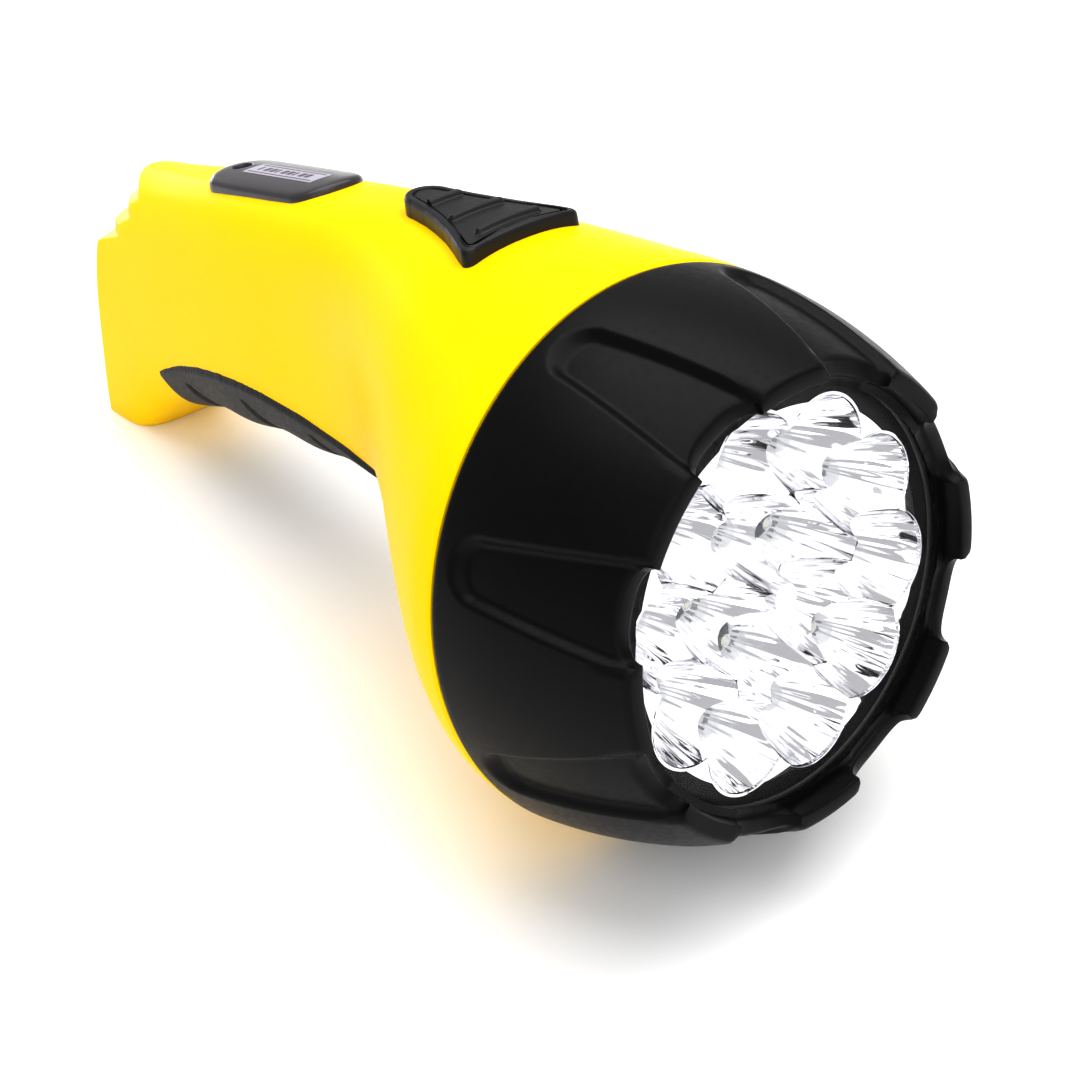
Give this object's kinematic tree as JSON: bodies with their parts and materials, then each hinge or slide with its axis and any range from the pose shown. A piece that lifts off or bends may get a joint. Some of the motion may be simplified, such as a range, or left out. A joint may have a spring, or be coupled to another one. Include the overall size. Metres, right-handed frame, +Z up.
{
  "type": "rechargeable hand torch",
  "caption": "Yellow hand torch with a fluted black lamp head, a bare LED cluster behind a clear lens, an arched handle, a top slide switch and a pull-out charging plug.",
  "frame": {"origin": "centre of the footprint box on the floor that the torch stands on", "axes": "+X towards the lamp head along the floor, +Y to the torch's left side, +Z up; the beam points along +X and 12.6 degrees upwards"},
  "size_m": [0.2, 0.09, 0.0887],
  "materials": {
    "yellow_shell": "semi-gloss moulded yellow ABS",
    "black_bezel": "satin black moulded plastic with a fine texture",
    "black_switch": "satin black",
    "black_plug": "satin black",
    "grip_rubber": "matt charcoal rubber",
    "grey_plate": "glossy dark grey",
    "sticker_film": "pale printed film, no lettering",
    "indicator_lens": "dark translucent green",
    "clear_lens": "clear polycarbonate",
    "seal_rubber": "matt black",
    "reflector_chrome": "mirror-bright metallised plastic",
    "led_resin": "water-clear epoxy",
    "lamp_board": "white solder mask",
    "circuit_board": "green solder mask",
    "battery_case": "dark grey",
    "steel": "nickel plated",
    "brass": "bare",
    "wire_red": "satin insulation",
    "wire_black": "satin insulation"
  },
  "bodies": {
    "torch_body": {"shell_right": "yellow_shell", "shell_left": "yellow_shell", "grip_insert": "grip_rubber", "label_plate": "grey_plate", "label_sticker": "sticker_film", "charge_indicator": "indicator_lens", "reflector": "reflector_chrome", "led_board": "lamp_board", "slide_switch": "steel", "driver_board": "circuit_board", "battery": "battery_case", "battery_tab_positive": "steel", "battery_tab_negative": "steel", "charge_contact_1": "brass", "charge_contact_2": "brass", "charge_lead_1": "wire_red", "charge_lead_2": "wire_black", "battery_lead_1": "wire_red", "battery_lead_2": "wire_black", "lamp_lead_1": "wire_red", "lamp_lead_2": "wire_black", "led_01": "led_resin", "led_02": "led_resin", "led_03": "led_resin", "led_04": "led_resin", "led_05": "led_resin", "led_06": "led_resin", "led_07": "led_resin", "led_08": "led_resin", "led_09": "led_resin", "led_10": "led_resin", "led_11": "led_resin", "led_12": "led_resin", "led_13": "led_resin", "led_14": "led_resin", "led_15": "led_resin", "shell_screw_1": "steel", "shell_screw_2": "steel", "shell_screw_3": "steel", "shell_screw_4": "steel", "shell_screw_5": "steel"},
    "switch": {"switch_button": "black_switch", "switch_lever": "black_switch"},
    "bezel_unit": {"bezel": "black_bezel", "lens": "clear_lens", "lens_gasket": "seal_rubber"},
    "plug": {"plug_carriage": "black_plug", "plug_pin_upper": "steel", "plug_pin_lower": "steel", "plug_thumb_slide": "black_plug"}
  },
  "joints": [
    {"name": "switch_slide", "type": "slide", "parent": "torch_body", "child": "switch", "axis": [0.982, 0, 0.1888], "range_m": [0, 0.006]},
    {"name": "bezel_twist", "type": "hinge", "parent": "torch_body", "child": "bezel_unit", "pos_m": [0.06175, 0, 0.04426], "axis": [0.9759, 0, 0.2181], "range_deg": [0, 30]},
    {"name": "plug_slide", "type": "slide", "parent": "torch_body", "child": "plug", "axis": [-0.9759, 0, -0.2181], "range_m": [0, 0.019]}
  ]
}
